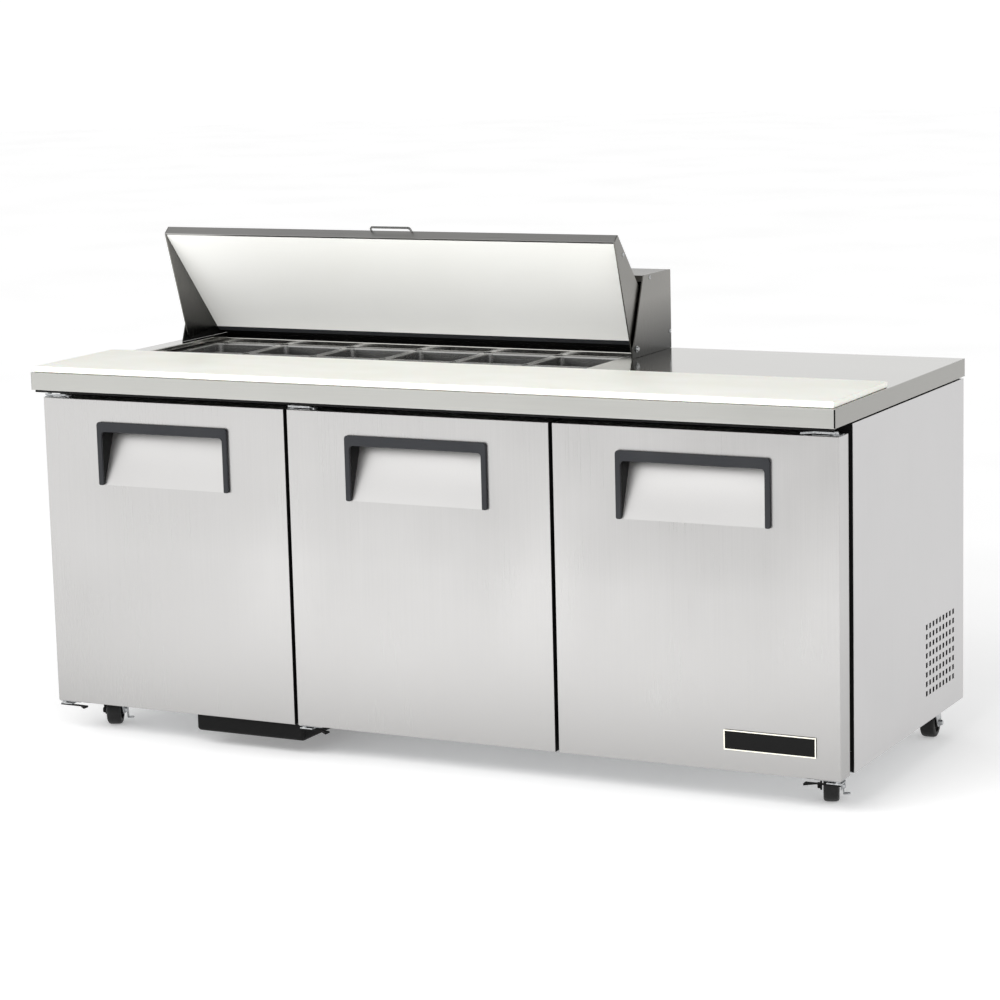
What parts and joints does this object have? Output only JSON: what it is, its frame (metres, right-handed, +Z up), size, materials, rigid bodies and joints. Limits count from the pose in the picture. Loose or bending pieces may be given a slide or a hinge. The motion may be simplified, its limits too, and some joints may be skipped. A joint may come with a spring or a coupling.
{
  "type": "sandwich prep table",
  "caption": "Three-door refrigerated sandwich prep table on castors with a cutting board along the front and a hinged hood over a rail of food pans.",
  "frame": {"origin": "floor level under the middle of the table's bounding box", "axes": "+X along the worktop to the right, -Y towards the doors and the cutting board, +Z up"},
  "size_m": [1.838, 0.766, 1.0924],
  "materials": {
    "panel_steel": "fine vertical brushed stainless, satin",
    "worktop_steel": "brushed stainless, lengthways grain, fairly bright",
    "hood_steel": "brushed stainless, satin",
    "liner_steel": "smooth stainless liner, satin",
    "pan_steel": "pressed stainless, satin inside",
    "cabinet_liner": "clear coated aluminium liner, matte",
    "board_white": "white polyethylene, fine matte",
    "handle_charcoal": "moulded charcoal plastic, fine texture",
    "black_plastic": "black moulded plastic, satin",
    "gasket_rubber": "soft magnetic gasket, matte black",
    "wheel_rubber": "dark grey castor tread",
    "castor_zinc": "bright zinc plate",
    "handle_steel": "bent stainless strip",
    "shelf_coating": "white epoxy coated wire",
    "machine_black": "black enamel",
    "fin_aluminium": "thin bare fins",
    "plate_black": "gloss black plate with a pale border"
  },
  "bodies": {
    "cabinet": {"left_wall": "panel_steel", "right_wall": "panel_steel", "rear_wall": "panel_steel", "cabinet_floor": "cabinet_liner", "face_frame": "cabinet_liner", "machine_partition": "cabinet_liner", "compressor": "machine_black", "condenser_coil": "fin_aluminium", "condenser_fan_motor": "machine_black", "evaporator_housing": "cabinet_liner", "drip_pan": "black_plastic", "worktop": "worktop_steel", "pan_frame": "black_plastic", "pan_dividers": "pan_steel", "hood_shell": "hood_steel", "shelf_left_lower": "shelf_coating", "shelf_left_upper": "shelf_coating", "shelf_middle_lower": "shelf_coating", "shelf_middle_upper": "shelf_coating", "shelf_right_lower": "shelf_coating", "shelf_right_upper": "shelf_coating"},
    "condenser_fan": {"condenser_fan": "fin_aluminium"},
    "evaporator_fan": {"evaporator_fan": "black_plastic"},
    "cutting_board": {"cutting_board": "board_white"},
    "lid": {"lid_shell": "hood_steel", "lid_liner": "liner_steel", "lid_handle": "handle_steel"},
    "door_left": {"door_left_panel": "panel_steel", "door_left_gasket": "gasket_rubber", "door_left_handle": "handle_charcoal"},
    "door_middle": {"door_middle_panel": "panel_steel", "door_middle_gasket": "gasket_rubber", "door_middle_handle": "handle_charcoal"},
    "door_right": {"door_right_panel": "panel_steel", "door_right_gasket": "gasket_rubber", "door_right_handle": "handle_charcoal", "name_plate": "plate_black"},
    "pan_front_1": {"pan_front_1": "pan_steel"},
    "pan_front_2": {"pan_front_2": "pan_steel"},
    "pan_front_3": {"pan_front_3": "pan_steel"},
    "pan_front_4": {"pan_front_4": "pan_steel"},
    "pan_front_5": {"pan_front_5": "pan_steel"},
    "pan_front_6": {"pan_front_6": "pan_steel"},
    "pan_rear_1": {"pan_rear_1": "pan_steel"},
    "pan_rear_2": {"pan_rear_2": "pan_steel"},
    "pan_rear_3": {"pan_rear_3": "pan_steel"},
    "pan_rear_4": {"pan_rear_4": "pan_steel"},
    "pan_rear_5": {"pan_rear_5": "pan_steel"},
    "pan_rear_6": {"pan_rear_6": "pan_steel"},
    "castor_front_left": {"castor_front_left_fork": "castor_zinc"},
    "castor_front_left_wheel": {"castor_front_left_wheel": "wheel_rubber"},
    "castor_front_left_brake": {"castor_front_left_brake": "castor_zinc"},
    "castor_front_right": {"castor_front_right_fork": "castor_zinc"},
    "castor_front_right_wheel": {"castor_front_right_wheel": "wheel_rubber"},
    "castor_front_right_brake": {"castor_front_right_brake": "castor_zinc"},
    "castor_rear_left": {"castor_rear_left_fork": "castor_zinc"},
    "castor_rear_left_wheel": {"castor_rear_left_wheel": "wheel_rubber"},
    "castor_rear_right": {"castor_rear_right_fork": "castor_zinc"},
    "castor_rear_right_wheel": {"castor_rear_right_wheel": "wheel_rubber"}
  },
  "joints": [
    {"name": "door_left_hinge", "type": "hinge", "parent": "cabinet", "child": "door_left", "pos_m": [-0.9035, -0.3374, 0.417], "axis": [0, 0, -1], "range_deg": [0, 110], "stiffness_Nm_per_rad": 1.5},
    {"name": "door_middle_hinge", "type": "hinge", "parent": "cabinet", "child": "door_middle", "pos_m": [-0.292, -0.3374, 0.417], "axis": [0, 0, -1], "range_deg": [0, 110], "stiffness_Nm_per_rad": 1.5},
    {"name": "door_right_hinge", "type": "hinge", "parent": "cabinet", "child": "door_right", "pos_m": [0.9035, -0.3374, 0.417], "axis": [0, 0, 1], "range_deg": [0, 110], "stiffness_Nm_per_rad": 1.5},
    {"name": "lid_hinge", "type": "hinge", "parent": "cabinet", "child": "lid", "pos_m": [-0.3225, 0.198, 0.831], "axis": [-1, 0, 0], "range_deg": [-71.9, 0]},
    {"name": "cutting_board_lift", "type": "slide", "parent": "cabinet", "child": "cutting_board", "axis": [0, 0, 1], "range_m": [0, 0.12]},
    {"name": "pan_front_1_lift", "type": "slide", "parent": "cabinet", "child": "pan_front_1", "axis": [0, 0, 1], "range_m": [0, 0.15]},
    {"name": "pan_front_2_lift", "type": "slide", "parent": "cabinet", "child": "pan_front_2", "axis": [0, 0, 1], "range_m": [0, 0.15]},
    {"name": "pan_front_3_lift", "type": "slide", "parent": "cabinet", "child": "pan_front_3", "axis": [0, 0, 1], "range_m": [0, 0.15]},
    {"name": "pan_front_4_lift", "type": "slide", "parent": "cabinet", "child": "pan_front_4", "axis": [0, 0, 1], "range_m": [0, 0.15]},
    {"name": "pan_front_5_lift", "type": "slide", "parent": "cabinet", "child": "pan_front_5", "axis": [0, 0, 1], "range_m": [0, 0.15]},
    {"name": "pan_front_6_lift", "type": "slide", "parent": "cabinet", "child": "pan_front_6", "axis": [0, 0, 1], "range_m": [0, 0.15]},
    {"name": "pan_rear_1_lift", "type": "slide", "parent": "cabinet", "child": "pan_rear_1", "axis": [0, 0, 1], "range_m": [0, 0.06]},
    {"name": "pan_rear_2_lift", "type": "slide", "parent": "cabinet", "child": "pan_rear_2", "axis": [0, 0, 1], "range_m": [0, 0.06]},
    {"name": "pan_rear_3_lift", "type": "slide", "parent": "cabinet", "child": "pan_rear_3", "axis": [0, 0, 1], "range_m": [0, 0.06]},
    {"name": "pan_rear_4_lift", "type": "slide", "parent": "cabinet", "child": "pan_rear_4", "axis": [0, 0, 1], "range_m": [0, 0.06]},
    {"name": "pan_rear_5_lift", "type": "slide", "parent": "cabinet", "child": "pan_rear_5", "axis": [0, 0, 1], "range_m": [0, 0.06]},
    {"name": "pan_rear_6_lift", "type": "slide", "parent": "cabinet", "child": "pan_rear_6", "axis": [0, 0, 1], "range_m": [0, 0.06]},
    {"name": "castor_front_left_swivel", "type": "hinge", "parent": "cabinet", "child": "castor_front_left", "pos_m": [-0.85, -0.233, 0.076], "axis": [0, 0, 1], "continuous": true},
    {"name": "castor_front_left_wheel_spin", "type": "hinge", "parent": "castor_front_left", "child": "castor_front_left_wheel", "pos_m": [-0.86017, -0.21016, 0.032], "axis": [0.9135, 0.4067, 0], "continuous": true},
    {"name": "castor_front_left_brake_press", "type": "hinge", "parent": "castor_front_left", "child": "castor_front_left_brake", "pos_m": [-0.86342, -0.20285, 0.038], "axis": [0.9135, 0.4067, 0], "range_deg": [0, 25]},
    {"name": "castor_front_right_swivel", "type": "hinge", "parent": "cabinet", "child": "castor_front_right", "pos_m": [0.85, -0.233, 0.076], "axis": [0, 0, 1], "continuous": true},
    {"name": "castor_front_right_wheel_spin", "type": "hinge", "parent": "castor_front_right", "child": "castor_front_right_wheel", "pos_m": [0.84145, -0.20951, 0.032], "axis": [0.9397, 0.342, 0], "continuous": true},
    {"name": "castor_front_right_brake_press", "type": "hinge", "parent": "castor_front_right", "child": "castor_front_right_brake", "pos_m": [0.83871, -0.20199, 0.038], "axis": [0.9397, 0.342, 0], "range_deg": [0, 25]},
    {"name": "castor_rear_left_swivel", "type": "hinge", "parent": "cabinet", "child": "castor_rear_left", "pos_m": [-0.858, 0.317, 0.076], "axis": [0, 0, 1], "continuous": true},
    {"name": "castor_rear_left_wheel_spin", "type": "hinge", "parent": "castor_rear_left", "child": "castor_rear_left_wheel", "pos_m": [-0.858, 0.342, 0.032], "axis": [1, 0, 0], "continuous": true},
    {"name": "castor_rear_right_swivel", "type": "hinge", "parent": "cabinet", "child": "castor_rear_right", "pos_m": [0.858, 0.317, 0.076], "axis": [0, 0, 1], "continuous": true},
    {"name": "castor_rear_right_wheel_spin", "type": "hinge", "parent": "castor_rear_right", "child": "castor_rear_right_wheel", "pos_m": [0.85626, 0.34194, 0.032], "axis": [0.9976, 0.0698, 0], "continuous": true},
    {"name": "condenser_fan_spin", "type": "hinge", "parent": "cabinet", "child": "condenser_fan", "pos_m": [0.744, 0.232, 0.215], "axis": [1, 0, 0], "continuous": true},
    {"name": "evaporator_fan_spin", "type": "hinge", "parent": "cabinet", "child": "evaporator_fan", "pos_m": [-0.05, 0.27, 0.551], "axis": [0, 1, 0], "continuous": true}
  ]
}
